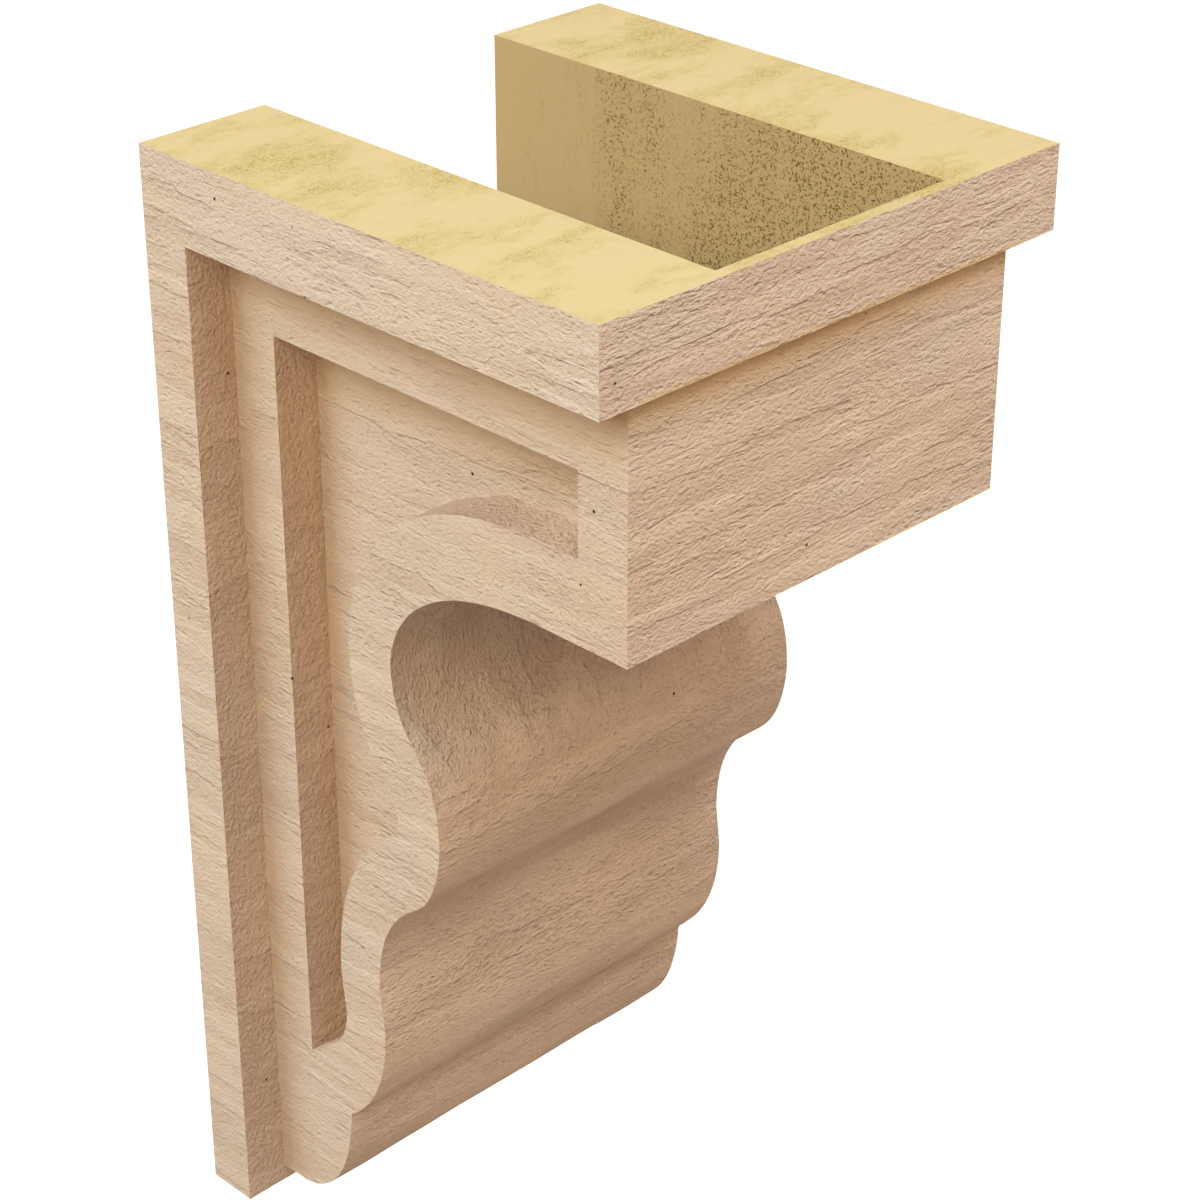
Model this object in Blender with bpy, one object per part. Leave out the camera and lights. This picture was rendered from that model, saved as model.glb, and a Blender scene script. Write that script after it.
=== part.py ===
"""Hollow urethane corbel with the look of rough-sawn timber.

A flat cap and a wall stile form an outer frame. A narrower body stands inside it, with a square block
under the cap and an ogee front below. Each side of the body has a sunk panel that follows the front.
The body is cast as one shell, open at the top and at the back, above a solid foot.

Metres, +Z up. X runs across the width, the front faces -Y and the wall is behind, at +Y.
The origin is on the back face, at the middle of the solid foot.
"""
import math

import bmesh
import bpy
from mathutils import Vector

INCH = 0.0254

# Driving sizes
WIDTH = 6.0 * INCH
DEPTH = 6.0 * INCH
HEIGHT = 12.0 * INCH
SIDE_STEP = 0.5 * INCH
PANEL_SINK = 0.5 * INCH
ARM_THICKNESS = 1.5 * INCH
SKIN_THICKNESS = 0.0033
HOLLOW_FLOOR = 1.8 * INCH
OVERRUN = 0.5 * INCH

# The side is drawn on a grid of 10 columns out from the wall and 14 rows up from the bottom
COLUMN = DEPTH / 10
ROW = HEIGHT / 14
STILE_COLUMNS = 1.0
CAP_BOTTOM_ROW = 13.0
BLOCK_FRONT_COLUMN = 9.74
BLOCK_BOTTOM_ROW = 10.0
BODY_BOTTOM_ROW = 0.24
PANEL_TOP_ROW = 12.0
PANEL_BACK_COLUMN = 2.0
PANEL_BORDER = 1.0

# Front moulding in columns and rows, each bend a cubic curve that starts where the last one ended:
# end point, pull at the start, pull at the end, number of facets
COVE_START = (7.96, BLOCK_BOTTOM_ROW)
COVE = ((4.50, 8.59), (-3.47, 0.0), (0.0, 0.0), 18)
BELLY = ((5.54, 6.50), (0.0, -1.06), (0.0, 1.24), 12)
BELLY_UNDERSIDE = ((4.99, 5.50), (0.0, -0.10), (0.48, 0.28), 6)
NECK = ((3.92, 3.97), (-0.32, -0.19), (0.0, 1.09), 10)
LIP = ((4.01, 3.38), (0.0, -0.05), (0.0, 0.13), 4)
LIP_UNDERSIDE = ((3.01, 1.81), (0.0, -0.75), (0.55, 0.28), 10)
FOOT = ((1.62, BODY_BOTTOM_ROW), (-0.13, -1.47), (0.14, 0.0), 10)
SHELL_FRONT = (COVE, BELLY, BELLY_UNDERSIDE, NECK, LIP, LIP_UNDERSIDE)

# Finish
URETHANE_COLOUR = (0.60, 0.41, 0.27, 1.0)
URETHANE_ROUGHNESS = 0.85

MOUNT_HEIGHT = HOLLOW_FLOOR / 2


def bend(start, end, start_pull, end_pull, facets):
    """Points of a cubic curve after its start point, in columns and rows."""
    first = Vector(start)
    last = Vector(end)
    leave = first + Vector(start_pull)
    arrive = last + Vector(end_pull)
    points = []
    for step in range(1, facets + 1):
        t = step / facets
        s = 1 - t
        points.append(s ** 3 * first + 3 * s * s * t * leave + 3 * s * t * t * arrive + t ** 3 * last)
    return points


def moulding(bends):
    """Front of the body from the cap down to the end of the last bend."""
    points = [
        Vector((BLOCK_FRONT_COLUMN, CAP_BOTTOM_ROW)),
        Vector((BLOCK_FRONT_COLUMN, BLOCK_BOTTOM_ROW)),
        Vector(COVE_START),
    ]
    for end, start_pull, end_pull, facets in bends:
        points += bend(points[-1], end, start_pull, end_pull, facets)
    return points


def to_metres(points):
    """Points in columns and rows as distances from the wall and the bottom."""
    return [Vector((point.x * COLUMN, point.y * ROW)) for point in points]


def distance_to_path(point, path):
    """Shortest distance from a point to a chain of straight facets."""
    nearest = math.inf
    for start, end in zip(path, path[1:]):
        along = end - start
        share = min(max((point - start).dot(along) / along.length_squared, 0.0), 1.0)
        nearest = min(nearest, (point - start - share * along).length)
    return nearest


def inset(path, distance):
    """Chain of points that runs inside a downward path, the same distance behind it all the way."""
    result = []
    for index, point in enumerate(path):
        before = (point - path[max(index - 1, 0)]) if index else path[1] - path[0]
        after = (path[index + 1] - point) if index + 1 < len(path) else before
        normal_before = Vector((before.y, -before.x)).normalized()
        normal_after = Vector((after.y, -after.x)).normalized()
        mitre = (normal_before + normal_after) / (1 + normal_before.dot(normal_after))
        moved = point + distance * mitre
        if distance_to_path(moved, path) > 0.9999 * distance:
            result.append(moved)
    return result


def crossing(start, end, axis, level):
    """Point where the line from start to end reaches a level on one axis."""
    share = (level - start[axis]) / (end[axis] - start[axis])
    return start.lerp(end, share)


def cut_below(path, axis, level):
    """Start of a path up to where it first falls under a level on one axis."""
    kept = [path[0]]
    for point in path[1:]:
        if point[axis] < level:
            kept.append(crossing(kept[-1], point, axis, level))
            return kept
        kept.append(point)
    return kept


def frame_outline():
    """Stile along the wall and cap across the top."""
    stile = STILE_COLUMNS * COLUMN
    cap_bottom = CAP_BOTTOM_ROW * ROW
    return [(0, 0), (stile, 0), (stile, cap_bottom), (DEPTH, cap_bottom), (DEPTH, HEIGHT), (0, HEIGHT)]


def body_outline():
    """Block, ogee front and rounded foot, with the back and top buried in the frame."""
    front = to_metres(moulding([*SHELL_FRONT, FOOT]))
    back = STILE_COLUMNS * COLUMN / 2
    top = (CAP_BOTTOM_ROW + 0.5) * ROW
    return [(front[0].x, top), *front[1:], (back, BODY_BOTTOM_ROW * ROW), (back, top)]


def panel_outline():
    """Sunk side panel, one grid unit inside the body's front, the cap's underside and the stile."""
    front = moulding(SHELL_FRONT)
    last_pull = Vector(LIP_UNDERSIDE[2])
    run_out = front[-1] - 2 * PANEL_BORDER * last_pull.normalized()
    inner = inset([*front, run_out], PANEL_BORDER)
    rim = cut_below(inner, 0, PANEL_BACK_COLUMN)
    top_front = Vector((rim[0].x, PANEL_TOP_ROW))
    top_back = Vector((PANEL_BACK_COLUMN, PANEL_TOP_ROW))
    return to_metres([top_front, *rim[1:], top_back])


def hollow_outline():
    """Inside of the shell, one skin behind the front, open past the back and the top."""
    front = to_metres(moulding(SHELL_FRONT))
    inner = cut_below(inset(front, SKIN_THICKNESS), 1, HOLLOW_FLOOR)
    ledge = CAP_BOTTOM_ROW * ROW + SKIN_THICKNESS
    cap_inside = DEPTH - SKIN_THICKNESS
    above = HEIGHT + OVERRUN
    rear = -OVERRUN
    return [
        (cap_inside, above), (cap_inside, ledge), (inner[0].x, ledge), *inner[1:],
        (rear, HOLLOW_FLOOR), (rear, above),
    ]


def extrude_outline(name, points, left, right, collection):
    """Solid with the given side outline between two places across the width."""
    curve = bpy.data.curves.new(name, "CURVE")
    curve.dimensions = "2D"
    curve.fill_mode = "BOTH"
    curve.extrude = (right - left) / 2
    spline = curve.splines.new("POLY")
    spline.points.add(len(points) - 1)
    for spot, point in zip(spline.points, points):
        spot.co = (point[0], point[1], 0.0, 1.0)
    spline.use_cyclic_u = True
    guide = bpy.data.objects.new(name + "_outline", curve)
    guide.rotation_euler = (math.pi / 2, 0.0, -math.pi / 2)
    guide.location = ((left + right) / 2, 0.0, -MOUNT_HEIGHT)
    collection.objects.link(guide)
    bpy.context.view_layer.update()

    depsgraph = bpy.context.evaluated_depsgraph_get()
    mesh = bpy.data.meshes.new_from_object(guide.evaluated_get(depsgraph))
    mesh.name = name
    shape = bmesh.new()
    shape.from_mesh(mesh)
    bmesh.ops.remove_doubles(shape, verts=shape.verts, dist=0.00001)
    bmesh.ops.recalc_face_normals(shape, faces=shape.faces)
    shape.to_mesh(mesh)
    shape.free()

    solid = bpy.data.objects.new(name, mesh)
    solid.matrix_world = guide.matrix_world
    collection.objects.link(solid)
    bpy.data.objects.remove(guide)
    bpy.data.curves.remove(curve)
    return solid


def combine(target, tool, operation):
    """Boolean modifier that joins a hidden tool to a solid or cuts it away."""
    tool.hide_render = True
    tool.display_type = "WIRE"
    modifier = target.modifiers.new(f"{operation.lower()} {tool.name}", "BOOLEAN")
    modifier.operation = operation
    modifier.solver = "EXACT"
    modifier.object = tool


def urethane_material():
    """Pale tan primer on the cast urethane."""
    material = bpy.data.materials.new("primed_urethane")
    material.use_nodes = True
    shader = material.node_tree.nodes["Principled BSDF"]
    shader.inputs["Base Color"].default_value = URETHANE_COLOUR
    shader.inputs["Roughness"].default_value = URETHANE_ROUGHNESS
    shader.inputs["Metallic"].default_value = 0.0
    return material


def new_collection(name):
    """Collection linked to the scene."""
    collection = bpy.data.collections.new(name)
    bpy.context.scene.collection.children.link(collection)
    return collection


def build_corbel():
    """One cast piece: frame and body joined, then both panels and the hollow taken out."""
    parts = new_collection("urethane_corbel")
    tools = new_collection("urethane_corbel_cutters")
    corbel = extrude_outline("corbel", frame_outline(), -WIDTH / 2, WIDTH / 2, parts)

    body_side = WIDTH / 2 - SIDE_STEP
    body = extrude_outline("body_block", body_outline(), -body_side, body_side, tools)
    combine(corbel, body, "UNION")

    panel = panel_outline()
    panel_floor = body_side - PANEL_SINK
    panel_outside = WIDTH / 2 + OVERRUN
    left_panel = extrude_outline("left_panel_cutter", panel, -panel_outside, -panel_floor, tools)
    combine(corbel, left_panel, "DIFFERENCE")
    right_panel = extrude_outline("right_panel_cutter", panel, panel_floor, panel_outside, tools)
    combine(corbel, right_panel, "DIFFERENCE")

    hollow_side = WIDTH / 2 - ARM_THICKNESS
    hollow = extrude_outline("hollow_cutter", hollow_outline(), -hollow_side, hollow_side, tools)
    combine(corbel, hollow, "DIFFERENCE")

    corbel.data.materials.clear()
    corbel.data.materials.append(urethane_material())


def main():
    for existing in list(bpy.data.objects):
        bpy.data.objects.remove(existing)
    build_corbel()


main()
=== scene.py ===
"""Rough-sawn urethane corbel: the cast shell with its sawn grain, primer and raw foam.

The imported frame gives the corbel's box. The side outlines are drawn on the same grid of columns and rows
as the solid, cut into a fine mesh and worked with relief, so that the grain is real depth in the surface.
"""
import logging
import math
from dataclasses import dataclass, field
from enum import Enum, IntEnum

import bmesh
import bpy
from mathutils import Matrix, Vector, noise


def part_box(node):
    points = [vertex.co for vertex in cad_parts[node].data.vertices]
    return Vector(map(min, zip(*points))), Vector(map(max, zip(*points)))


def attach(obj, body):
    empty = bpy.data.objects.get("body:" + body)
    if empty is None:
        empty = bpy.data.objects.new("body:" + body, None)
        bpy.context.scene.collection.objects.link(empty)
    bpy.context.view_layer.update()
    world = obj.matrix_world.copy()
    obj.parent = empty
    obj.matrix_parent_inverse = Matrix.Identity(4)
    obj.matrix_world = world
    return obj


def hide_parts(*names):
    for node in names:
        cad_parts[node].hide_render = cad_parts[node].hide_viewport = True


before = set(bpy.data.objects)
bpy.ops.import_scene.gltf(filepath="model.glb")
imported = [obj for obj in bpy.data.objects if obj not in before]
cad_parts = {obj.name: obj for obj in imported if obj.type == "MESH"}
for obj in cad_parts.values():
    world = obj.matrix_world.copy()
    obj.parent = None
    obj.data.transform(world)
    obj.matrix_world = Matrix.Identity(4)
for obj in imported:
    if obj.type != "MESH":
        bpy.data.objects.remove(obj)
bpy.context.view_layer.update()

INCH = 0.0254
MM = 0.001
NODE = "corbel"

# Vertex attribute that holds how much painted shade a vertex gets below the cap and the panel's top, from 0
# to 1
CORNER_SHADE = "painted_corner_shade"

# A point this close to a plane or an outline lies on it, or belongs to the body beside it
TOUCH = 0.02 * MM
NEARBY = 1 * MM
MERGE_DISTANCE = 0.001 * MM
CUT_TOLERANCE = 0.002 * MM

# Smallest share of a unit normal along one axis for a face that counts as flat, or as facing sideways
FLAT = 0.9999
SIDEWAYS = 0.9

# Sockets of a Mix node by number, because its names repeat
SHARE, NUMBER_A, NUMBER_B, COLOUR_A, COLOUR_B = 0, 2, 3, 6, 7
NUMBER_OUT, COLOUR_OUT = 0, 2

Tree = bpy.types.NodeTree
Socket = bpy.types.NodeSocket

log = logging.getLogger("corbel")


class Grain(Enum):
    """Direction that the saw marks run in."""

    DEPTHWISE = "depthwise"
    WIDTHWISE = "widthwise"
    UPRIGHT = "upright"


class Surface(IntEnum):
    """Kinds of surface on the casting, each with its own material slot."""

    SIDE = 0
    FRONT = 1
    OGEE = 2
    STEP = 3
    RAW_TOP = 4
    RAW_INSIDE = 5
    RAW_BACK = 6


# Grid of each kind: 1 for the full fineness, 2 for half of it, and so on
COARSENESS = {
    Surface.SIDE: 1,
    Surface.FRONT: 1,
    Surface.OGEE: 1,
    Surface.STEP: 1,
    Surface.RAW_TOP: 2,
    Surface.RAW_INSIDE: 3,
    Surface.RAW_BACK: 4,
}

# Share of the relief on each kind. The raw faces never touched the sawn pattern, so they are far smoother
RELIEF_SHARE = {
    Surface.SIDE: 0.8,
    Surface.FRONT: 1.0,
    Surface.OGEE: 0.9,
    Surface.STEP: 1.0,
    Surface.RAW_TOP: 0.12,
    Surface.RAW_INSIDE: 0.2,
    Surface.RAW_BACK: 0.2,
}


def linear(hex_colour: str) -> tuple[float, float, float, float]:
    """Turns an sRGB hex colour into a linear one.

    Args:
        hex_colour: Six hex digits, such as "CBB59C".

    Returns:
        Red, green, blue and an alpha of one.
    """
    channels = [int(hex_colour[i:i + 2], 16) / 255 for i in (0, 2, 4)]
    low = [c / 12.92 if c <= 0.04045 else ((c + 0.055) / 1.055) ** 2.4 for c in channels]
    return (low[0], low[1], low[2], 1.0)


def add_node(tree: Tree, kind: str, settings: dict[str | int, object] | None = None,
             links: dict[str | int, Socket] | None = None) -> bpy.types.Node:
    """Adds a node with its settings and the links into it.

    Args:
        tree: Node tree that gets the node.
        kind: Blender's name for the node.
        settings: Values by attribute name, or by input name or number.
        links: Output sockets by the name or number of the input that they feed.

    Returns:
        The new node.
    """
    node = tree.nodes.new(kind)
    for key, value in (settings or {}).items():
        if isinstance(key, str) and hasattr(node, key):
            setattr(node, key, value)
        else:
            node.inputs[key].default_value = value
    for key, socket in (links or {}).items():
        tree.links.new(socket, node.inputs[key])
    return node


def place_facing(item: bpy.types.Object, aim: Vector, azimuth: float, elevation: float,
                 distance: float) -> None:
    """Puts a camera or a lamp so that it looks at a point.

    Args:
        item: The camera or lamp.
        aim: Point that it looks at.
        azimuth: 0 looks along +Y and 90 along -X, in degrees.
        elevation: Height above the horizon, in degrees.
        distance: Distance from the point.
    """
    around = math.radians(azimuth)
    up = math.radians(elevation)
    back = Vector((math.sin(around) * math.cos(up), -math.cos(around) * math.cos(up), math.sin(up)))
    item.location = aim + distance * back
    item.rotation_euler = (-back).to_track_quat("-Z", "Y").to_euler()


def evenly(path: list[Vector], pitch: float) -> list[Vector]:
    """Spreads points evenly along a path.

    Args:
        path: Points of the path, first to last.
        pitch: Wanted distance between neighbours.

    Returns:
        The points after the first one, the last included.
    """
    total = sum((b - a).length for a, b in zip(path, path[1:]))
    count = max(1, round(total / pitch))
    result = []
    travelled = 0.0
    for start, end in zip(path, path[1:]):
        length = (end - start).length
        while len(result) < count - 1 and (len(result) + 1) * total / count <= travelled + length:
            share = ((len(result) + 1) * total / count - travelled) / length
            result.append(start.lerp(end, share))
        travelled += length
    return [*result, path[-1]]


def distance_to_path(point: Vector, path: list[Vector]) -> float:
    """Measures how far a point lies from a chain of straight facets.

    Args:
        point: The point.
        path: The chain's points.

    Returns:
        The shortest distance.
    """
    nearest = math.inf
    for start, end in zip(path, path[1:]):
        along = end - start
        share = min(max((point - start).dot(along) / along.length_squared, 0.0), 1.0)
        nearest = min(nearest, (point - start - share * along).length)
    return nearest


def inset(path: list[Vector], distance: float, kept_share: float = 0.9999) -> list[Vector]:
    """Runs a chain of points inside a downward path.

    Args:
        path: The outer path, top to bottom.
        distance: How far the chain stays behind it.
        kept_share: Share of the distance that a point has to keep from the whole path.

    Returns:
        The inner chain, without the stretches that would cross each other.
    """
    result = []
    for index, point in enumerate(path):
        before = (point - path[index - 1]) if index else path[1] - path[0]
        after = (path[index + 1] - point) if index + 1 < len(path) else before
        normal_before = Vector((before.y, -before.x)).normalized()
        normal_after = Vector((after.y, -after.x)).normalized()
        mitre = (normal_before + normal_after) / (1 + normal_before.dot(normal_after))
        moved = point + distance * mitre
        if distance_to_path(moved, path) > kept_share * distance:
            result.append(moved)
    return result


def cut_below(path: list[Vector], axis: int, level: float) -> list[Vector]:
    """Keeps the start of a path, up to where it first falls under a level.

    Args:
        path: The path.
        axis: 0 to compare the depth, 1 to compare the height.
        level: The level.

    Returns:
        The kept points, with the crossing as the last one.
    """
    kept = [path[0]]
    for point in path[1:]:
        if point[axis] < level:
            share = (level - kept[-1][axis]) / (point[axis] - kept[-1][axis])
            kept.append(kept[-1].lerp(point, share))
            return kept
        kept.append(point)
    return kept


@dataclass(frozen=True)
class Bend:
    """Cubic curve of the front moulding, in columns and rows, from where the last one ended."""

    end: tuple[float, float]
    leave: tuple[float, float]
    arrive: tuple[float, float]

    def points(self, start: Vector, facets: int = 64) -> list[Vector]:
        """Works out the curve.

        Args:
            start: End of the bend before it.
            facets: Number of straight steps.

        Returns:
            The curve's points with both ends.
        """
        last = Vector(self.end)
        leave = start + Vector(self.leave)
        arrive = last + Vector(self.arrive)
        curve = []
        for step in range(facets + 1):
            t = step / facets
            s = 1 - t
            curve.append(s ** 3 * start + 3 * s * s * t * leave + 3 * s * t * t * arrive + t ** 3 * last)
        return curve


@dataclass
class SideDrawing:
    """Side outlines of the corbel on its grid of columns and rows.

    Columns count from the wall and rows from the bottom. The outlines are in metres from both.
    """

    depth: float
    height: float
    pitch: float
    columns: int = 10
    rows: int = 14
    mean_unit: float = 1.25
    stile_columns: float = 1.0
    cap_bottom_row: float = 13.0
    block_front_column: float = 9.74
    block_bottom_row: float = 10.0
    body_bottom_row: float = 0.24
    buried: float = 0.5
    panel_top_row: float = 12.0
    panel_back_column: float = 2.0
    panel_border: float = 1.0
    skin: float = 3.3 * MM
    hollow_floor: float = 1.8 * INCH
    hollow_coarseness: int = 2
    overrun: float = 0.5 * INCH
    cove_start: tuple[float, float] = (7.96, 10.0)
    shell_bends: tuple[Bend, ...] = (
        Bend((4.50, 8.59), (-3.47, 0.0), (0.0, 0.0)),
        Bend((5.54, 6.50), (0.0, -1.06), (0.0, 1.24)),
        Bend((4.99, 5.50), (0.0, -0.10), (0.48, 0.28)),
        Bend((3.92, 3.97), (-0.32, -0.19), (0.0, 1.09)),
        Bend((4.01, 3.38), (0.0, -0.05), (0.0, 0.13)),
        Bend((3.01, 1.81), (0.0, -0.75), (0.55, 0.28)),
    )
    foot_bend: Bend = Bend((1.62, 0.24), (-0.13, -1.47), (0.14, 0.0))

    def metres(self, point: Vector) -> Vector:
        """Turns columns and rows into metres."""
        return Vector((point.x * self.depth / self.columns, point.y * self.height / self.rows))

    def row(self, row: float) -> float:
        """Height of a row above the bottom."""
        return row * self.height / self.rows

    def column(self, column: float) -> float:
        """Distance of a column from the wall."""
        return column * self.depth / self.columns

    def grid_pitch(self) -> float:
        """Pitch in grid units, which are mean_unit columns long on average."""
        return self.pitch / self.column(self.mean_unit)

    def corner_columns(self) -> tuple[float, ...]:
        """Columns where the flat faces have corners."""
        panel_front = self.block_front_column - self.panel_border
        return (0, self.stile_columns, self.panel_back_column, panel_front, self.block_front_column,
                self.columns)

    def corner_rows(self) -> tuple[float, ...]:
        """Rows where the flat faces have corners."""
        return (0, self.body_bottom_row, self.block_bottom_row, self.panel_top_row, self.cap_bottom_row,
                self.rows)

    def moulding(self, bends: tuple[Bend, ...]) -> list[Vector]:
        """Draws the body's front from the cap down.

        Args:
            bends: The curves below the block.

        Returns:
            Points in columns and rows, spaced finely along the curves.
        """
        path = [
            Vector((self.block_front_column, self.cap_bottom_row)),
            Vector((self.block_front_column, self.block_bottom_row)),
            Vector(self.cove_start),
        ]
        for bend in bends:
            path += evenly(bend.points(path[-1]), self.grid_pitch())
        return path

    def frame(self) -> list[Vector]:
        """Outline of the stile and the cap."""
        stile = self.column(self.stile_columns)
        cap = self.row(self.cap_bottom_row)
        under_cap = [Vector((0, 0)), Vector((stile, 0)), Vector((stile, cap)), Vector((self.depth, cap))]
        return [*under_cap, Vector((self.depth, self.height)), Vector((0, self.height))]

    def body(self) -> list[Vector]:
        """Outline of the block, the ogee and the foot, its back and top buried in the frame."""
        front = [self.metres(p) for p in self.moulding((*self.shell_bends, self.foot_bend))]
        back = self.column(self.stile_columns - self.buried)
        top = self.row(self.cap_bottom_row + self.buried)
        low = Vector((back, self.row(self.body_bottom_row)))
        return [Vector((front[0].x, top)), *front[1:], low, Vector((back, top))]

    def panel(self) -> list[Vector]:
        """Outline of the sunk panel, one grid unit inside the front."""
        front = self.moulding(self.shell_bends)
        last_pull = Vector(self.shell_bends[-1].arrive)
        run_out = front[-1] - 2 * self.panel_border * last_pull.normalized()
        rim = cut_below(inset([*front, run_out], self.panel_border), 0, self.panel_back_column)
        corner = rim[1]
        curve = [corner, *evenly(rim[1:], self.grid_pitch())]
        top = self.panel_top_row
        ends = [Vector((corner.x, top)), *curve, Vector((self.panel_back_column, top))]
        return [self.metres(p) for p in ends]

    def hollow(self) -> list[Vector]:
        """Outline of the hollow, one skin behind the front, open past the back and the top."""
        front = [self.metres(p) for p in self.moulding(self.shell_bends)]
        inner = cut_below(inset(front, self.skin), 1, self.hollow_floor)
        curve = [inner[1], *evenly(inner[1:], self.hollow_coarseness * self.pitch)]
        ledge = self.row(self.cap_bottom_row) + self.skin
        above = self.height + self.overrun
        corners = [Vector((self.depth - self.skin, above)), Vector((self.depth - self.skin, ledge)),
                   Vector((inner[0].x, ledge)), *curve]
        return [*corners, Vector((-self.overrun, self.hollow_floor)), Vector((-self.overrun, above))]


def along_grain(grain: Grain, long: float, short: float) -> Vector:
    """Scale that draws a pattern out along the grain.

    Args:
        grain: Direction of the grain.
        long: Pattern size along it.
        short: Pattern size across it.

    Returns:
        Scale on each axis, in patterns a metre.
    """
    scale = Vector((1 / short, 1 / short, 1 / short))
    scale[{Grain.WIDTHWISE: 0, Grain.DEPTHWISE: 1, Grain.UPRIGHT: 2}[grain]] = 1 / long
    return scale


@dataclass(frozen=True)
class RoughSawnRelief:
    """Depth of the broad saw marks and torn spots left in the casting by its rough-sawn pattern.

    The comb is a fractal noise: comb_fall says how much weaker each octave is, and comb_gap how much finer.
    """

    swell_long: float = 34 * MM
    swell_short: float = 9 * MM
    swell_depth: float = 0.16 * MM
    comb_long: float = 42 * MM
    comb_short: float = 4.2 * MM
    comb_depth: float = 0.32 * MM
    comb_fall: float = 0.8
    comb_gap: float = 2.0
    comb_octaves: int = 2
    tear_long: float = 20 * MM
    tear_short: float = 4.5 * MM
    tear_depth: float = 0.55 * MM
    tear_start: float = 0.36
    tear_shift: tuple[float, float, float] = (17.0, 39.0, 5.0)

    def height(self, place: Vector, grain: Grain) -> float:
        """Height of the surface over its flat face.

        Args:
            place: Point on the corbel.
            grain: Direction of the grain there.

        Returns:
            Height in metres, negative into the material.
        """
        swell = noise.noise(place * along_grain(grain, self.swell_long, self.swell_short))
        combed = place * along_grain(grain, self.comb_long, self.comb_short)
        comb = noise.fractal(combed, self.comb_fall, self.comb_gap, self.comb_octaves)
        shifted = place * along_grain(grain, self.tear_long, self.tear_short) + Vector(self.tear_shift)
        torn = max(0.0, noise.noise(shifted) - self.tear_start) / (1 - self.tear_start)
        return self.swell_depth * swell + self.comb_depth * comb - self.tear_depth * torn


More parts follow.
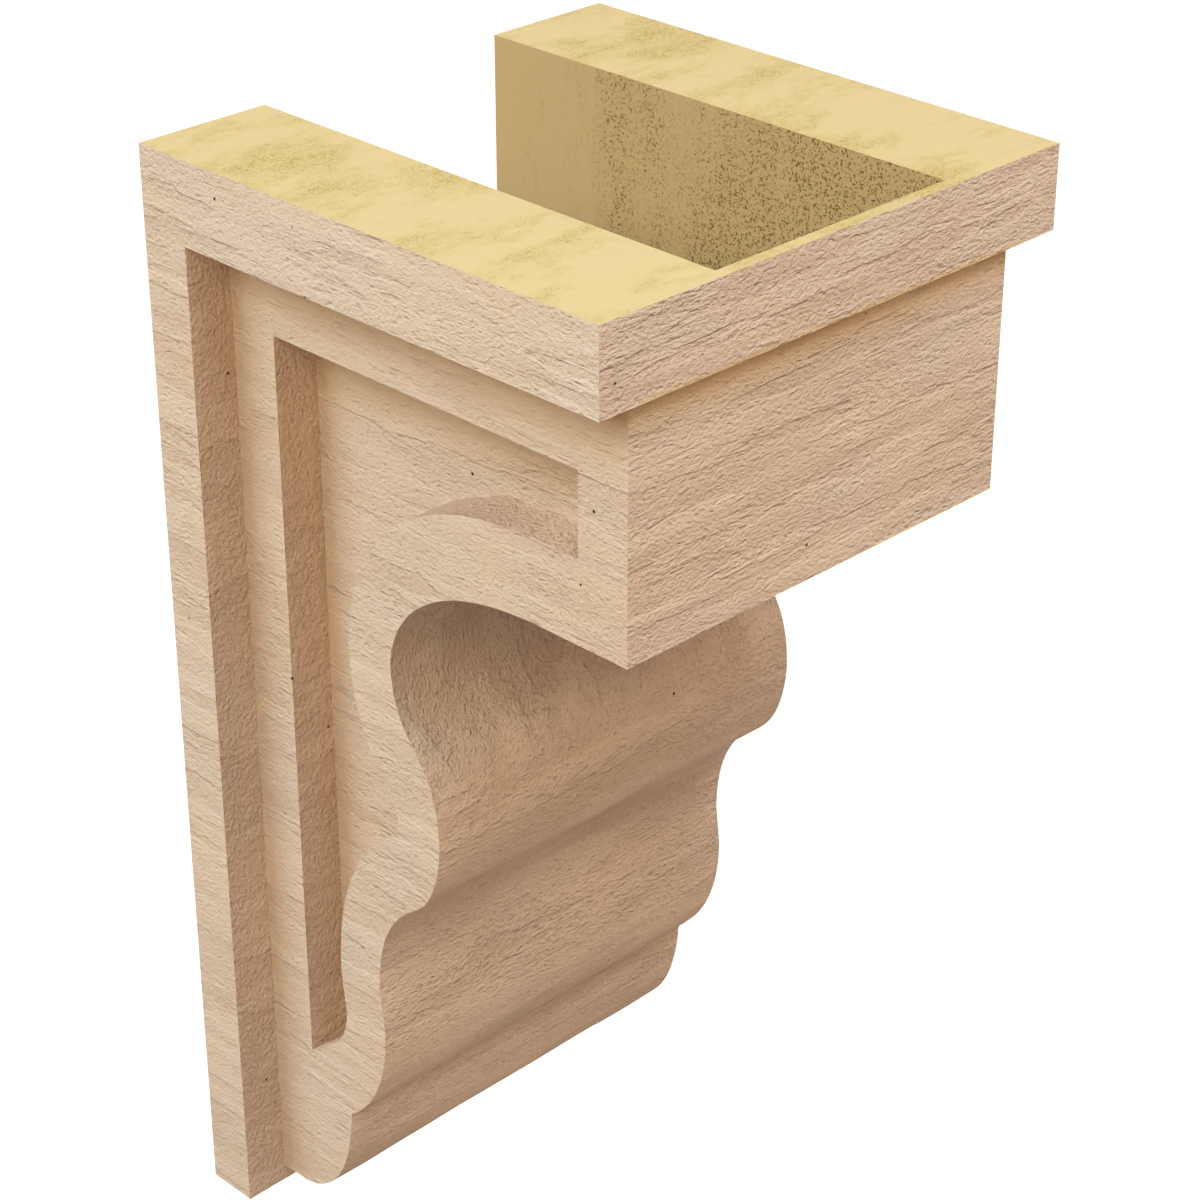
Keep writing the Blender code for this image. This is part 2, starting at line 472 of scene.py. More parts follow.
@dataclass(frozen=True)
class PrimedUrethane:
    """Tan primer sprayed on a cast rough-sawn face.

    The primer is dead matt and laid on too sparingly to fill the cast grain, so the eye sees a sandy surface
    with short crevices and torn edges along the grain, and a few pinholes where air was caught in the mould.
    Real grit is finer than the render can show, so it is drawn about a millimetre across.
    """

    grain: Grain
    name: str = "primed_rough_sawn_urethane"
    primer: str = "D2BEA8"
    warm: str = "D4B995"
    # Painted shade: yellower colour mixed in below the cap and the panel's top, where shade and warm bounce
    # light fall
    corner_shade: str = "D2B07F"
    # Painted shade: darker colour mixed in where the grain pattern lies low, for the shade in its pits and
    # crevices
    hollow: str = "9C7252"
    # Painted shade: dark colour inside the pinholes, where shade falls
    pinhole: str = "4A3222"
    roughness: float = 0.86
    specular: float = 0.2
    noise_roughness: float = 0.6
    grit_long: float = 1.3 * MM
    grit_short: float = 0.9 * MM
    grit_depth: float = 0.75 * MM
    crevice_long: float = 3.0 * MM
    crevice_short: float = 1.2 * MM
    crevice_depth: float = 0.18 * MM
    crevice_slope: tuple[float, float] = (0.30, 0.42)
    edge_long: float = 60 * MM
    edge_short: float = 9 * MM
    edge_depth: float = 0.24 * MM
    edge_slope: tuple[float, float] = (0.48, 0.52)
    patch_long: float = 45 * MM
    patch_short: float = 16 * MM
    patch_range: tuple[float, float] = (0.36, 0.62)
    patch_strength: tuple[float, float] = (0.82, 1.15)
    shade: float = 0.15
    shade_range: tuple[float, float] = (-0.08 * MM, -0.40 * MM)
    tint_size: float = 55 * MM
    pinhole_spacing: float = 13 * MM
    pinhole_radius: float = 0.5 * MM
    pinhole_depth: float = 0.5 * MM
    pinhole_bottom: float = 0.6

    def drawn_noise(self, tree: Tree, place: Socket, grain: Grain, long: float, short: float,
                    detail: float) -> Socket:
        """Adds a noise drawn out along the grain.

        Args:
            tree: Node tree of the material.
            place: Object coordinates.
            grain: Direction of the grain.
            long: Pattern size along it.
            short: Pattern size across it.
            detail: Number of finer octaves.

        Returns:
            The noise, from 0 to 1.
        """
        scale = along_grain(grain, long, short)
        drawn = add_node(tree, "ShaderNodeMapping", {"Scale": scale}, {"Vector": place})
        made = add_node(tree, "ShaderNodeTexNoise",
                        {"Scale": 1.0, "Detail": detail, "Roughness": self.noise_roughness},
                        {"Vector": drawn.outputs[0]})
        return made.outputs["Fac"]

    def sunk(self, tree: Tree, pattern: Socket, slope: tuple[float, float], depth: float) -> Socket:
        """Sinks the surface where a noise is low, with a steep edge.

        Args:
            tree: Node tree of the material.
            pattern: The noise, from 0 to 1.
            slope: Values of the noise at the bottom and the top of the edge.
            depth: Depth below the edge in metres.

        Returns:
            Height in metres, zero over the edge.
        """
        cut = add_node(tree, "ShaderNodeMapRange",
                       {"From Min": slope[0], "From Max": slope[1], "To Min": -depth, "To Max": 0.0},
                       {"Value": pattern})
        return cut.outputs[0]

    def depth(self, tree: Tree, place: Socket, grain: Grain) -> Socket:
        """Adds the grit, the crevices and the torn edges of one grain direction.

        Args:
            tree: Node tree of the material.
            place: Object coordinates.
            grain: Direction of the grain.

        Returns:
            Height in metres.
        """
        grit = self.drawn_noise(tree, place, grain, self.grit_long, self.grit_short, 3.0)
        torn = self.drawn_noise(tree, place, grain, self.crevice_long, self.crevice_short, 1.0)
        plates = self.drawn_noise(tree, place, grain, self.edge_long, self.edge_short, 4.0)
        patch = self.drawn_noise(tree, place, grain, self.patch_long, self.patch_short, 1.0)
        crevice = self.sunk(tree, torn, self.crevice_slope, self.crevice_depth)
        edge = self.sunk(tree, plates, self.edge_slope, self.edge_depth)
        cuts = add_node(tree, "ShaderNodeMath", {"operation": "ADD"}, {0: crevice, 1: edge})
        # Half the depth is taken off, so that the grit is even about the face
        grit_height = add_node(tree, "ShaderNodeMath",
                               {"operation": "MULTIPLY_ADD", 1: self.grit_depth, 2: -0.5 * self.grit_depth},
                               {0: grit})
        both = add_node(tree, "ShaderNodeMath", {"operation": "ADD"},
                        {0: grit_height.outputs[0], 1: cuts.outputs[0]})
        worn = add_node(tree, "ShaderNodeMapRange",
                        {"From Min": self.patch_range[0], "From Max": self.patch_range[1],
                         "To Min": self.patch_strength[0], "To Max": self.patch_strength[1]},
                        {"Value": patch})
        height = add_node(tree, "ShaderNodeMath", {"operation": "MULTIPLY"},
                          {0: both.outputs[0], 1: worn.outputs[0]})
        return height.outputs[0]

    def surface_depth(self, tree: Tree, place: Socket) -> Socket:
        """Height of the whole pattern, in metres."""
        return self.depth(tree, place, self.grain)

    def pinholes(self, tree: Tree, place: Socket) -> Socket:
        """Adds the pinholes.

        Args:
            tree: Node tree of the material.
            place: Object coordinates.

        Returns:
            1 in a pinhole and 0 beside it.
        """
        cells = add_node(tree, "ShaderNodeTexVoronoi",
                         {"Scale": 1 / self.pinhole_spacing, "Randomness": 1.0}, {"Vector": place})
        rim = self.pinhole_radius / self.pinhole_spacing
        bottom = self.pinhole_bottom * rim
        hole = add_node(tree, "ShaderNodeMapRange",
                        {"From Min": rim, "From Max": bottom, "To Min": 0.0, "To Max": 1.0},
                        {"Value": cells.outputs["Distance"]})
        return hole.outputs[0]

    def colour(self, tree: Tree, place: Socket, depth: Socket, hole: Socket) -> Socket:
        """Mixes the primer's tints, adds painted shade below the cap, adds painted shade where the pattern
        lies low and darkens the pinholes with painted shade.

        Args:
            tree: Node tree of the material.
            place: Object coordinates.
            depth: Height of the pattern, in metres.
            hole: 1 in a pinhole and 0 beside it.

        Returns:
            The colour.
        """
        tint = add_node(tree, "ShaderNodeTexNoise", {"Scale": 1 / self.tint_size, "Detail": 2.0},
                        {"Vector": place})
        tinted = add_node(tree, "ShaderNodeMix",
                          {"data_type": "RGBA", COLOUR_A: linear(self.primer), COLOUR_B: linear(self.warm)},
                          {SHARE: tint.outputs["Fac"]})
        # Painted shade below the cap and the panel's top, from the vertex attribute
        corner_shading = add_node(tree, "ShaderNodeAttribute", {"attribute_name": CORNER_SHADE})
        corner_shaded = add_node(tree, "ShaderNodeMix", {"data_type": "RGBA", COLOUR_B: linear(self.corner_shade)},
                           {SHARE: corner_shading.outputs["Fac"], COLOUR_A: tinted.outputs[COLOUR_OUT]})
        # Painted shade where the pattern lies low
        low = add_node(tree, "ShaderNodeMapRange",
                       {"From Min": self.shade_range[0], "From Max": self.shade_range[1],
                        "To Min": 0.0, "To Max": self.shade}, {"Value": depth})
        shaded = add_node(tree, "ShaderNodeMix", {"data_type": "RGBA", COLOUR_B: linear(self.hollow)},
                          {SHARE: low.outputs[0], COLOUR_A: corner_shaded.outputs[COLOUR_OUT]})
        # Painted shade in the pinholes
        holed = add_node(tree, "ShaderNodeMix", {"data_type": "RGBA", COLOUR_B: linear(self.pinhole)},
                         {SHARE: hole, COLOUR_A: shaded.outputs[COLOUR_OUT]})
        return holed.outputs[COLOUR_OUT]

    def material(self) -> bpy.types.Material:
        """Makes the material.

        Returns:
            Matt primer with grit, crevices, torn edges, a drifting tint and pinholes.
        """
        made = bpy.data.materials.new(f"{self.name}_{self.grain.value}")
        made.use_nodes = True
        tree = made.node_tree
        shader = tree.nodes["Principled BSDF"]
        shader.inputs["Roughness"].default_value = self.roughness
        shader.inputs["Specular IOR Level"].default_value = self.specular
        place = add_node(tree, "ShaderNodeTexCoord").outputs["Object"]
        depth = self.surface_depth(tree, place)
        hole = self.pinholes(tree, place)
        hole_depth = add_node(tree, "ShaderNodeMath", {"operation": "MULTIPLY", 1: -self.pinhole_depth},
                              {0: hole})
        height = add_node(tree, "ShaderNodeMath", {"operation": "ADD"}, {0: depth, 1: hole_depth.outputs[0]})
        bump = add_node(tree, "ShaderNodeBump", {"Strength": 1.0, "Distance": 1.0},
                        {"Height": height.outputs[0]})
        tree.links.new(self.colour(tree, place, depth, hole), shader.inputs["Base Color"])
        tree.links.new(bump.outputs["Normal"], shader.inputs["Normal"])
        return made


@dataclass(frozen=True)
class StreakedUrethane(PrimedUrethane):
    """The same primed casting on the ogee.

    Its marks run down the cove and turn across the width below the belly.
    """

    name: str = "primed_streaked_urethane"
    fade_low: float = 118 * MM
    fade_high: float = 142 * MM

    def surface_depth(self, tree: Tree, place: Socket) -> Socket:
        """Height of the whole pattern, in metres."""
        widthwise = self.depth(tree, place, self.grain)
        downward = self.depth(tree, place, Grain.UPRIGHT)
        parts = add_node(tree, "ShaderNodeSeparateXYZ", {}, {0: place})
        share = add_node(tree, "ShaderNodeMapRange",
                         {"From Min": self.fade_low, "From Max": self.fade_high,
                          "To Min": 0.0, "To Max": 1.0}, {"Value": parts.outputs["Z"]})
        mixed = add_node(tree, "ShaderNodeMix", {"data_type": "FLOAT"},
                         {SHARE: share.outputs[0], NUMBER_A: widthwise, NUMBER_B: downward})
        return mixed.outputs[NUMBER_OUT]


@dataclass(frozen=True)
class CrackedUrethane(PrimedUrethane):
    """The same primed casting on the narrow steps, where the lumps are broken across the strip."""

    name: str = "primed_cracked_urethane"
    crack_long: float = 70 * MM
    crack_short: float = 22 * MM
    crack_depth: float = 0.35 * MM
    crack_slope: tuple[float, float] = (0.49, 0.51)

    def surface_depth(self, tree: Tree, place: Socket) -> Socket:
        """Height of the whole pattern, in metres."""
        lumps = self.depth(tree, place, self.grain)
        broken = self.drawn_noise(tree, place, Grain.WIDTHWISE, self.crack_long, self.crack_short, 3.0)
        crack = self.sunk(tree, broken, self.crack_slope, self.crack_depth)
        both = add_node(tree, "ShaderNodeMath", {"operation": "ADD"}, {0: lumps, 1: crack})
        return both.outputs[0]


@dataclass(frozen=True)
class RawFoam:
    """Bare urethane foam where the mould was open.

    The foam is pale yellow with a thin closed skin. Where the skin was rubbed off, its cut cells give darker
    mustard bands full of fine specks. Real cells are finer than the render can show, so they are drawn
    coarser. Rubbed bands cover more of the surface with more cover, and towards the front where forward is
    over zero.
    """

    name: str
    band: tuple[float, float, float]
    skin: str = "C2A974"
    rubbed: str = "BAA060"
    speck: str = "9C8244"
    cover: float = 0.5
    density: float = 0.52
    forward: float = 0.0
    roughness: float = 0.75
    specular: float = 0.25
    rub_slope: tuple[float, float] = (0.96, 1.20)
    cell_slope: tuple[float, float] = (1.0, 1.12)
    cell_size: float = 0.65 * MM
    cell_depth: float = 0.12 * MM

    def material(self) -> bpy.types.Material:
        """Makes the material.

        Returns:
            Yellow foam with speckled bands.
        """
        made = bpy.data.materials.new(self.name)
        made.use_nodes = True
        tree = made.node_tree
        shader = tree.nodes["Principled BSDF"]
        shader.inputs["Roughness"].default_value = self.roughness
        shader.inputs["Specular IOR Level"].default_value = self.specular
        place = add_node(tree, "ShaderNodeTexCoord").outputs["Object"]
        scale = tuple(1 / size for size in self.band)
        drawn = add_node(tree, "ShaderNodeMapping", {"Scale": scale}, {"Vector": place})
        bands = add_node(tree, "ShaderNodeTexNoise", {"Scale": 1.0, "Detail": 6.0, "Roughness": 0.72},
                         {"Vector": drawn.outputs[0]})
        parts = add_node(tree, "ShaderNodeSeparateXYZ", {}, {0: place})
        tilted = add_node(tree, "ShaderNodeMath", {"operation": "MULTIPLY_ADD", 1: -self.forward},
                          {0: parts.outputs["Y"], 2: bands.outputs["Fac"]})
        rubbed = add_node(tree, "ShaderNodeMapRange",
                          {"From Min": self.rub_slope[0] - self.cover,
                           "From Max": self.rub_slope[1] - self.cover,
                           "To Min": 0.0, "To Max": 1.0}, {"Value": tilted.outputs[0]})
        cells = add_node(tree, "ShaderNodeTexNoise",
                         {"Scale": 1 / self.cell_size, "Detail": 2.0, "Roughness": 0.6}, {"Vector": place})
        opened = add_node(tree, "ShaderNodeMapRange",
                          {"From Min": self.cell_slope[0] - self.density,
                           "From Max": self.cell_slope[1] - self.density,
                           "To Min": 0.0, "To Max": 1.0}, {"Value": cells.outputs["Fac"]})
        speck = add_node(tree, "ShaderNodeMath", {"operation": "MULTIPLY"},
                         {0: rubbed.outputs[0], 1: opened.outputs[0]})
        tinted = add_node(tree, "ShaderNodeMix",
                          {"data_type": "RGBA", COLOUR_A: linear(self.skin), COLOUR_B: linear(self.rubbed)},
                          {SHARE: rubbed.outputs[0]})
        colour = add_node(tree, "ShaderNodeMix", {"data_type": "RGBA", COLOUR_B: linear(self.speck)},
                          {SHARE: speck.outputs[0], COLOUR_A: tinted.outputs[COLOUR_OUT]})
        pitted = add_node(tree, "ShaderNodeMath", {"operation": "MULTIPLY", 1: -self.cell_depth},
                          {0: speck.outputs[0]})
        bump = add_node(tree, "ShaderNodeBump", {"Strength": 1.0, "Distance": 1.0},
                        {"Height": pitted.outputs[0]})
        tree.links.new(colour.outputs[COLOUR_OUT], shader.inputs["Base Color"])
        tree.links.new(bump.outputs["Normal"], shader.inputs["Normal"])
        return made


@dataclass
class CorbelCasting:
    """The whole corbel: one cast shell with its relief."""

    low: Vector
    high: Vector
    side_step: float = 0.5 * INCH
    panel_sink: float = 0.5 * INCH
    arm: float = 1.5 * INCH
    pitch: float = 1.45 * MM
    arris_angle: float = 30.0
    # How far the painted shade below the cap reaches on the sides and on the front
    corner_shade_reach: float = 24 * MM
    corner_shade_reach_front: float = 12 * MM
    relief: RoughSawnRelief = field(default_factory=RoughSawnRelief)

    def __post_init__(self) -> None:
        """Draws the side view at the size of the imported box."""
        self.drawing = SideDrawing(self.high.y - self.low.y, self.high.z - self.low.z, self.pitch)
        self.half_width = (self.high.x - self.low.x) / 2
        self.body_side = self.half_width - self.side_step
        self.panel_floor = self.body_side - self.panel_sink
        self.hollow_side = self.half_width - self.arm
        self.hollow_outline = self.drawing.hollow()

    def extruded(self, name: str, outline: list[Vector], left: float, right: float) -> bpy.types.Object:
        """Makes a solid with a side outline.

        Args:
            name: Name of the object.
            outline: Points as distance from the wall and height above the bottom.
            left: Where the solid starts across the width.
            right: Where it ends.

        Returns:
            The solid, linked to the scene.
        """
        shape = bmesh.new()
        rim = [shape.verts.new((left, -point.x, self.low.z + point.y)) for point in outline]
        side = shape.faces.new(rim)
        grown = bmesh.ops.extrude_face_region(shape, geom=[side])
        moved = [item for item in grown["geom"] if isinstance(item, bmesh.types.BMVert)]
        bmesh.ops.translate(shape, verts=moved, vec=(right - left, 0, 0))
        bmesh.ops.recalc_face_normals(shape, faces=shape.faces)
        mesh = bpy.data.meshes.new(name)
        shape.to_mesh(mesh)
        shape.free()
        solid = bpy.data.objects.new(name, mesh)
        bpy.context.scene.collection.objects.link(solid)
        return solid

    def plain_shell(self) -> bmesh.types.BMesh:
        """Joins frame and body and takes out the panels and the hollow.

        Returns:
            The shell with flat faces and sharp corners.
        """
        outside = self.half_width + self.drawing.overrun
        shell = self.extruded("shell", self.drawing.frame(), -self.half_width, self.half_width)
        panel = self.drawing.panel()
        tools = [
            (self.extruded("body", self.drawing.body(), -self.body_side, self.body_side), "UNION"),
            (self.extruded("left_panel", panel, -outside, -self.panel_floor), "DIFFERENCE"),
            (self.extruded("right_panel", panel, self.panel_floor, outside), "DIFFERENCE"),
            (self.extruded("hollow", self.hollow_outline, -self.hollow_side, self.hollow_side), "DIFFERENCE"),
        ]
        for tool, operation in tools:
            modifier = shell.modifiers.new(tool.name, "BOOLEAN")
            modifier.operation = operation
            modifier.solver = "EXACT"
            modifier.object = tool
        bpy.context.view_layer.update()
        result = bpy.data.meshes.new_from_object(shell.evaluated_get(bpy.context.evaluated_depsgraph_get()))
        shape = bmesh.new()
        shape.from_mesh(result)
        bpy.data.meshes.remove(result)
        for solid in (shell, *(tool for tool, _ in tools)):
            bpy.data.meshes.remove(solid.data)
        bmesh.ops.remove_doubles(shape, verts=shape.verts, dist=MERGE_DISTANCE)
        shape.normal_update()
        return shape

    def surface(self, face: bmesh.types.BMFace) -> Surface:
        """Tells which kind of surface a face of the plain shell belongs to.

        Args:
            face: The face.

        Returns:
            Its kind.
        """
        centre = face.calc_center_median()
        if centre.z > self.high.z - TOUCH:
            return Surface.RAW_TOP
        if centre.y > self.high.y - TOUCH:
            return Surface.RAW_BACK
        corners = [v.co for v in face.verts]
        if self.in_hollow(corners):
            return Surface.RAW_INSIDE
        if abs(face.normal.x) > SIDEWAYS:
            return Surface.SIDE
        stile = self.drawing.column(self.drawing.stile_columns)
        stile_front = all(abs(c.y + stile) < TOUCH for c in corners)
        outer = all(abs(c.x) >= self.panel_floor - TOUCH for c in corners)
        if stile_front or (outer and abs(centre.x) > self.panel_floor):
            return Surface.STEP
        block = self.low.z + self.drawing.row(self.drawing.block_bottom_row)
        return Surface.OGEE if centre.z < block + TOUCH else Surface.FRONT

    def in_hollow(self, corners: list[Vector]) -> bool:
        """Tells whether all corners lie on the wall of the hollow."""
        if any(abs(c.x) > self.hollow_side + TOUCH for c in corners):
            return False
        if all(abs(abs(c.x) - self.hollow_side) < TOUCH for c in corners):
            return True
        around = [*self.hollow_outline, self.hollow_outline[0]]
        points = [Vector((-c.y, c.z - self.low.z)) for c in corners]
        return all(distance_to_path(p, around) < TOUCH for p in points)

    def sliced(self, shape: bmesh.types.BMesh, faces: list[bmesh.types.BMFace], axis: int,
               cuts: list[float]) -> list[bmesh.types.BMFace]:
        """Cuts faces by planes, the middle plane first.

        Args:
            shape: The mesh.
            faces: The faces to cut.
            axis: Axis that the planes stand across.
            cuts: Where the planes are, in order.

        Returns:
            The faces after the cuts.
        """
        if not cuts or not faces:
            return faces
        middle = len(cuts) // 2
        level = cuts[middle]
        normal = Vector((axis == 0, axis == 1, axis == 2))
        edges = {edge for face in faces for edge in face.edges}
        verts = {vert for face in faces for vert in face.verts}
        cut = bmesh.ops.bisect_plane(shape, geom=[*faces, *edges, *verts], dist=CUT_TOLERANCE,
                                     plane_co=normal * level, plane_no=normal)
        pieces = [item for item in cut["geom"] if isinstance(item, bmesh.types.BMFace)]
        under = [face for face in pieces if face.calc_center_median()[axis] < level]
        over = [face for face in pieces if face.calc_center_median()[axis] >= level]
        finished = self.sliced(shape, under, axis, cuts[:middle])
        return finished + self.sliced(shape, over, axis, cuts[middle + 1:])

    def cuts(self, levels: list[float], coarse: int) -> list[float]:
        """Spaces cutting planes evenly between named levels.

        Args:
            levels: Levels where the shape has corners.
            coarse: 1 for the full fineness, 2 for half of it, and so on.

        Returns:
            Places of the planes, in order.
        """
        places = []
        ordered = sorted(levels)
        for start, end in zip(ordered, ordered[1:]):
            steps = max(1, round((end - start) / self.pitch))
            places += [start + (end - start) * step / steps for step in range(steps)]
        return places[::coarse]

    def gridded(self, shape: bmesh.types.BMesh) -> None:
        """Cuts every flat face into a grid and every curved one into short strips.

        Args:
            shape: The plain shell, changed in place.
        """
        across = [-self.half_width, -self.body_side, -self.panel_floor, -self.hollow_side]
        across += [-x for x in across]
        outward = [-self.drawing.column(c) for c in self.drawing.corner_columns()]
        upward = [self.low.z + self.drawing.row(r) for r in self.drawing.corner_rows()]
        for kind, coarse in COARSENESS.items():
            flat = {axis: [] for axis in range(3)}
            curved = []
            for face in shape.faces:
                if face.material_index != kind:
                    continue
                main_axis = max(range(3), key=lambda axis: abs(face.normal[axis]))
                (flat[main_axis] if abs(face.normal[main_axis]) > FLAT else curved).append(face)
            for axis, faces in flat.items():
                for other, levels in enumerate((across, outward, upward)):
                    if other != axis:
                        faces = self.sliced(shape, faces, other, self.cuts(levels, coarse))
            self.sliced(shape, curved, 0, self.cuts(across, coarse))
            log.info("%s cut, %d faces so far", kind.name.lower(), len(shape.faces))

    def grain(self, kind: Surface) -> Grain:
        """Direction of the grain on a kind of surface."""
        return Grain.DEPTHWISE if kind == Surface.SIDE else Grain.WIDTHWISE

    def worked(self, shape: bmesh.types.BMesh) -> None:
        """Moves the vertices by the relief and leaves the arrises crisp and straight.

        Args:
            shape: The gridded shell, changed in place.
        """
        moves = []
        for vert in shape.verts:
            kind = Surface(vert.link_faces[0].material_index)
            if all(edge.smooth for edge in vert.link_edges):
                height = self.relief.height(vert.co, self.grain(kind))
                moves.append(RELIEF_SHARE[kind] * height * vert.normal)
            else:
                moves.append(Vector())
        for vert, move in zip(shape.verts, moves):
            vert.co += move

    def shade_corners(self, shape: bmesh.types.BMesh) -> None:
        """Marks how much painted shade falls below the cap and the panel's top, fading away downwards.

        Args:
            shape: The gridded shell, which gets the attribute.
        """
        layer = shape.verts.layers.float.new(CORNER_SHADE)
        cap = self.low.z + self.drawing.row(self.drawing.cap_bottom_row)
        panel = self.low.z + self.drawing.row(self.drawing.panel_top_row)
        for vert in shape.verts:
            kind = Surface(vert.link_faces[0].material_index)
            across = abs(vert.co.x)
            if across >= self.body_side + NEARBY:
                continue
            if kind == Surface.SIDE:
                ceiling = panel if across < self.panel_floor + NEARBY else cap
                vert[layer] = max(0.0, 1 - (ceiling - vert.co.z) / self.corner_shade_reach)
            elif kind == Surface.FRONT and vert.co.z < cap:
                vert[layer] = max(0.0, 1 - (cap - vert.co.z) / self.corner_shade_reach_front)

    def build(self) -> bpy.types.Object:
        """Builds and dresses the casting.

        Returns:
            The finished piece.
        """
        shape = self.plain_shell()
        for face in shape.faces:
            face.material_index = self.surface(face)
        log.info("plain shell has %d faces", len(shape.faces))
        self.gridded(shape)
        sharp = math.radians(self.arris_angle)
        for edge in shape.edges:
            edge.smooth = edge.is_manifold and edge.calc_face_angle(0.0) < sharp
        for face in shape.faces:
            face.smooth = True
        self.shade_corners(shape)
        self.worked(shape)
        mesh = bpy.data.meshes.new("corbel_casting")
        shape.to_mesh(mesh)
        shape.free()
        for finish in self.finishes():
            mesh.materials.append(finish.material())
        piece = bpy.data.objects.new("corbel_casting", mesh)
        bpy.context.scene.collection.objects.link(piece)
        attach(piece, "root")
        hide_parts(NODE)
        return piece

    def finishes(self) -> list[PrimedUrethane | RawFoam]:
        """Finish of each kind of surface, in the order of the kinds."""
        side = PrimedUrethane(Grain.DEPTHWISE)
        # Painted light and shade: the front, ogee and step primers are shifted from the sides' to fit how
        # light falls on those faces
        front = PrimedUrethane(Grain.WIDTHWISE, primer="CFBAA4", warm="D1B592", grit_depth=1.0 * MM,
                               crevice_depth=0.24 * MM, edge_depth=0.32 * MM)
        ogee = StreakedUrethane(Grain.WIDTHWISE, primer="D6BFA8", warm="D8BA95", grit_depth=1.7 * MM,
                                crevice_depth=0.42 * MM, edge_depth=0.40 * MM)
        step = CrackedUrethane(Grain.UPRIGHT, primer="D9BEA6", warm="DBB893", grit_long=1.3 * MM,
                               grit_short=1.15 * MM, grit_depth=1.7 * MM, crevice_long=2.6 * MM,
                               crevice_short=1.7 * MM, edge_depth=0.0)
        top = RawFoam("raw_urethane_foam_top", (34 * MM, 17 * MM, 34 * MM))
        # Painted shade: the inside foam's colours are darker than the top's, for the shade in the hollow
        inside = RawFoam("raw_urethane_foam_inside_painted_shade", (18 * MM, 18 * MM, 60 * MM), skin="B99D68",
                         rubbed="B79A62", speck="745430", cover=0.33, density=0.47, forward=4.5)
        back = RawFoam("raw_urethane_foam_back", (40 * MM, 40 * MM, 40 * MM))
        return [side, front, ogee, step, top, inside, back]


@dataclass(frozen=True)
class Softbox:
    """Soft square lamp that faces the corbel.

    Its azimuth is 0 in front of the corbel and -90 at its left side, and both angles are in degrees.
    """

    name: str
    azimuth: float
    elevation: float
    power: float
    colour: str
    distance: float = 2.4
    size: float = 1.35

    def build(self, aim: Vector) -> bpy.types.Object:
        """Makes the lamp.

        Args:
            aim: Point that it faces.

        Returns:
            The lamp, out of the camera's sight.
        """
        data = bpy.data.lights.new(self.name, "AREA")
        data.shape = "SQUARE"
        data.size = self.size
        data.energy = self.power
        data.color = linear(self.colour)[:3]
        lamp = bpy.data.objects.new(self.name, data)
        lamp.visible_camera = False
        place_facing(lamp, aim, self.azimuth, self.elevation, self.distance)
        bpy.context.scene.collection.objects.link(lamp)
        return lamp


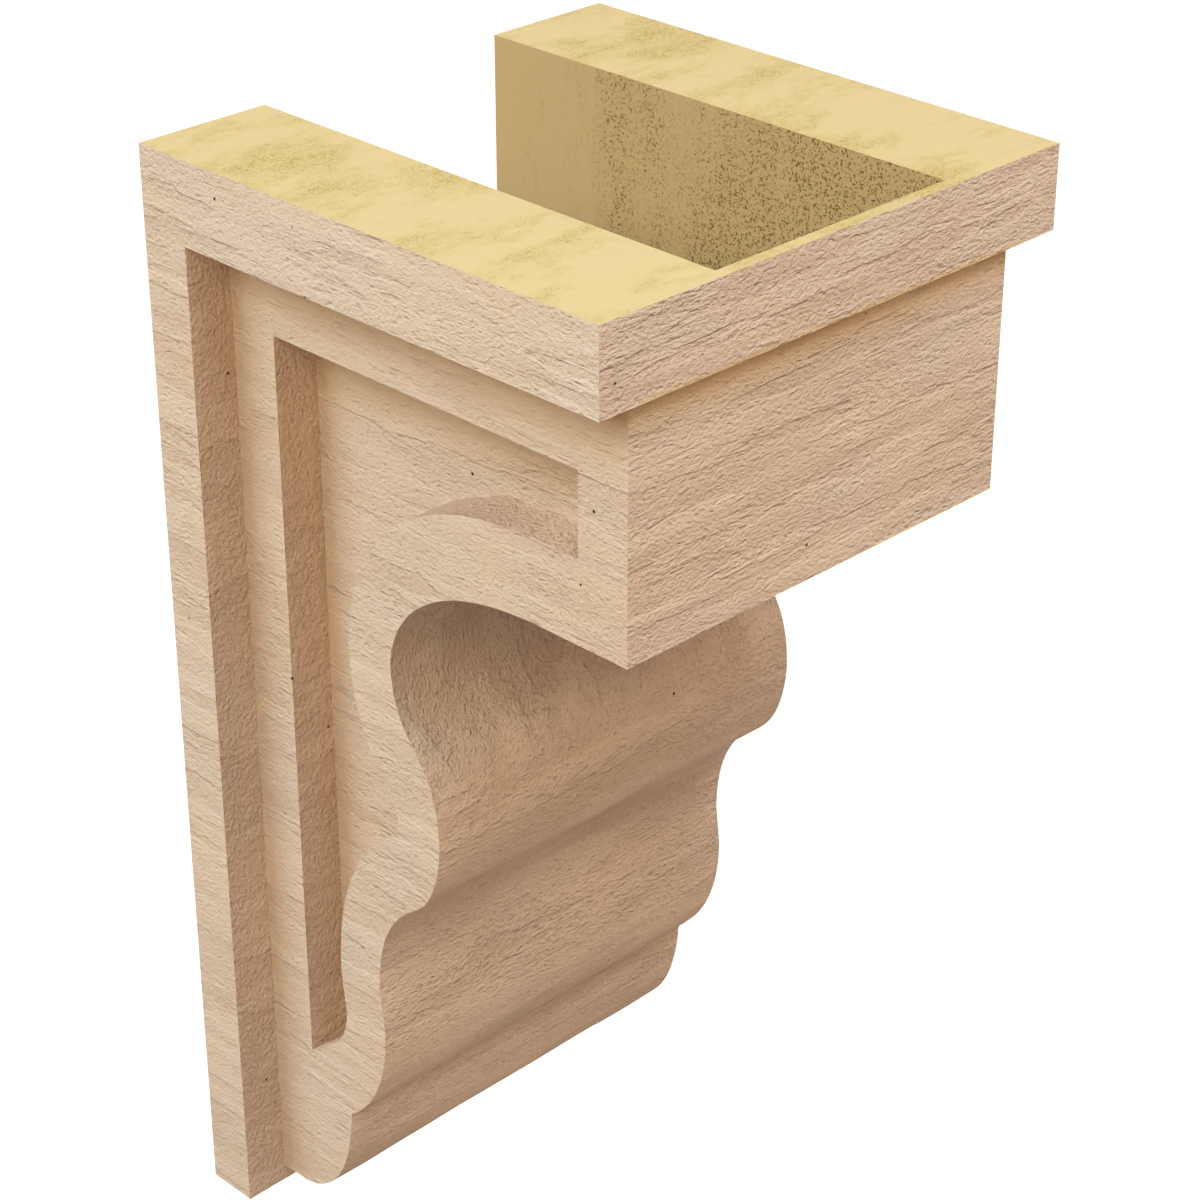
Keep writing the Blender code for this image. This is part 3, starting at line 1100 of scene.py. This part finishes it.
@dataclass
class Studio:
    """Pale floor well below the corbel, soft lamps around it and the camera at the photograph's angle."""

    floor_drop: float = 1.6
    floor_size: float = 24.0
    floor_colour: str = "DED2C4"
    floor_roughness: float = 0.9
    sky_strength: float = 0.34
    sky_colour: str = "FFE3DF"
    aim: tuple[float, float, float] = (0.0093, -0.0672, 0.1535)
    camera_distance: float = 0.792
    camera_azimuth: float = -45.01
    camera_elevation: float = 28.33
    camera_lens: float = 92.3
    camera_sensor: float = 36.0
    lamps: tuple[Softbox, ...] = (
        Softbox("key_softbox", -60.0, 38.0, 31.0, "FFF8E1"),
        Softbox("top_softbox", 0.0, 65.0, 45.5, "BDE0FF"),
        Softbox("left_softbox", -120.0, 38.0, 49.3, "CBE6FF"),
        Softbox("right_softbox", 30.0, 38.0, 28.0, "FFE9D9"),
        Softbox("low_softbox", -90.0, -25.0, 3.6, "FFD8B8"),
    )
    floor_lamp_reach: float = 4.2
    floor_lamp_height: float = 1.9
    floor_lamp_size: tuple[float, float] = (7.0, 5.0)
    floor_lamp_spread: float = 60.0
    floor_lamp_power: float = 175.0
    floor_lamp_colour: str = "E3EEFF"

    def floor(self, low: Vector) -> bpy.types.Object:
        """Makes the floor.

        Args:
            low: Lowest corner of the corbel's box.

        Returns:
            The floor.
        """
        shape = bmesh.new()
        bmesh.ops.create_grid(shape, x_segments=1, y_segments=1, size=self.floor_size / 2)
        bmesh.ops.translate(shape, verts=shape.verts, vec=(0, 0, low.z - self.floor_drop))
        mesh = bpy.data.meshes.new("floor")
        shape.to_mesh(mesh)
        shape.free()
        paint = bpy.data.materials.new("matt_white_studio_floor")
        paint.use_nodes = True
        shader = paint.node_tree.nodes["Principled BSDF"]
        shader.inputs["Base Color"].default_value = linear(self.floor_colour)
        shader.inputs["Roughness"].default_value = self.floor_roughness
        mesh.materials.append(paint)
        floor = bpy.data.objects.new("floor", mesh)
        bpy.context.scene.collection.objects.link(floor)
        return floor

    def floor_lamp(self, low: Vector) -> bpy.types.Object:
        """Makes the lamp that turns the floor behind the corbel white, as seen from the camera.

        Args:
            low: Lowest corner of the corbel's box.

        Returns:
            The lamp, out of the camera's sight.
        """
        data = bpy.data.lights.new("floor_softbox", "AREA")
        data.shape = "RECTANGLE"
        data.size, data.size_y = self.floor_lamp_size
        data.spread = math.radians(self.floor_lamp_spread)
        data.energy = self.floor_lamp_power
        data.color = linear(self.floor_lamp_colour)[:3]
        lamp = bpy.data.objects.new("floor_softbox", data)
        lamp.visible_camera = False
        away = math.radians(self.camera_azimuth + 180)
        place = Vector((math.sin(away), -math.cos(away), 0)) * self.floor_lamp_reach
        lamp.location = (place.x, place.y, low.z - self.floor_drop + self.floor_lamp_height)
        lamp.rotation_euler = (0, 0, away - math.pi / 2)
        bpy.context.scene.collection.objects.link(lamp)
        return lamp

    def camera(self) -> bpy.types.Object:
        """Makes the camera and gives it to the scene.

        Returns:
            The camera.
        """
        data = bpy.data.cameras.new("camera")
        data.lens = self.camera_lens
        data.sensor_width = self.camera_sensor
        camera = bpy.data.objects.new("camera", data)
        place_facing(camera, Vector(self.aim), self.camera_azimuth, self.camera_elevation,
                     self.camera_distance)
        bpy.context.scene.collection.objects.link(camera)
        bpy.context.scene.camera = camera
        return camera

    def build(self, low: Vector) -> None:
        """Sets up the whole studio.

        Args:
            low: Lowest corner of the corbel's box.
        """
        scene = bpy.context.scene
        scene.view_settings.view_transform = "Standard"
        world = bpy.data.worlds.new("soft_studio")
        world.use_nodes = True
        background = world.node_tree.nodes["Background"]
        background.inputs["Color"].default_value = linear(self.sky_colour)
        background.inputs["Strength"].default_value = self.sky_strength
        scene.world = world
        self.floor(low)
        for lamp in self.lamps:
            lamp.build(Vector(self.aim))
        self.floor_lamp(low)
        self.camera()


def main() -> None:
    """Builds the studio and the corbel."""
    logging.basicConfig(level=logging.INFO, format="%(name)s: %(message)s")
    low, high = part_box(NODE)
    Studio().build(Vector(low))
    log.info("studio is set up")
    casting = CorbelCasting(Vector(low), Vector(high)).build()
    log.info("%s has %d faces", casting.name, len(casting.data.polygons))


if __name__ == "__main__":
    main()
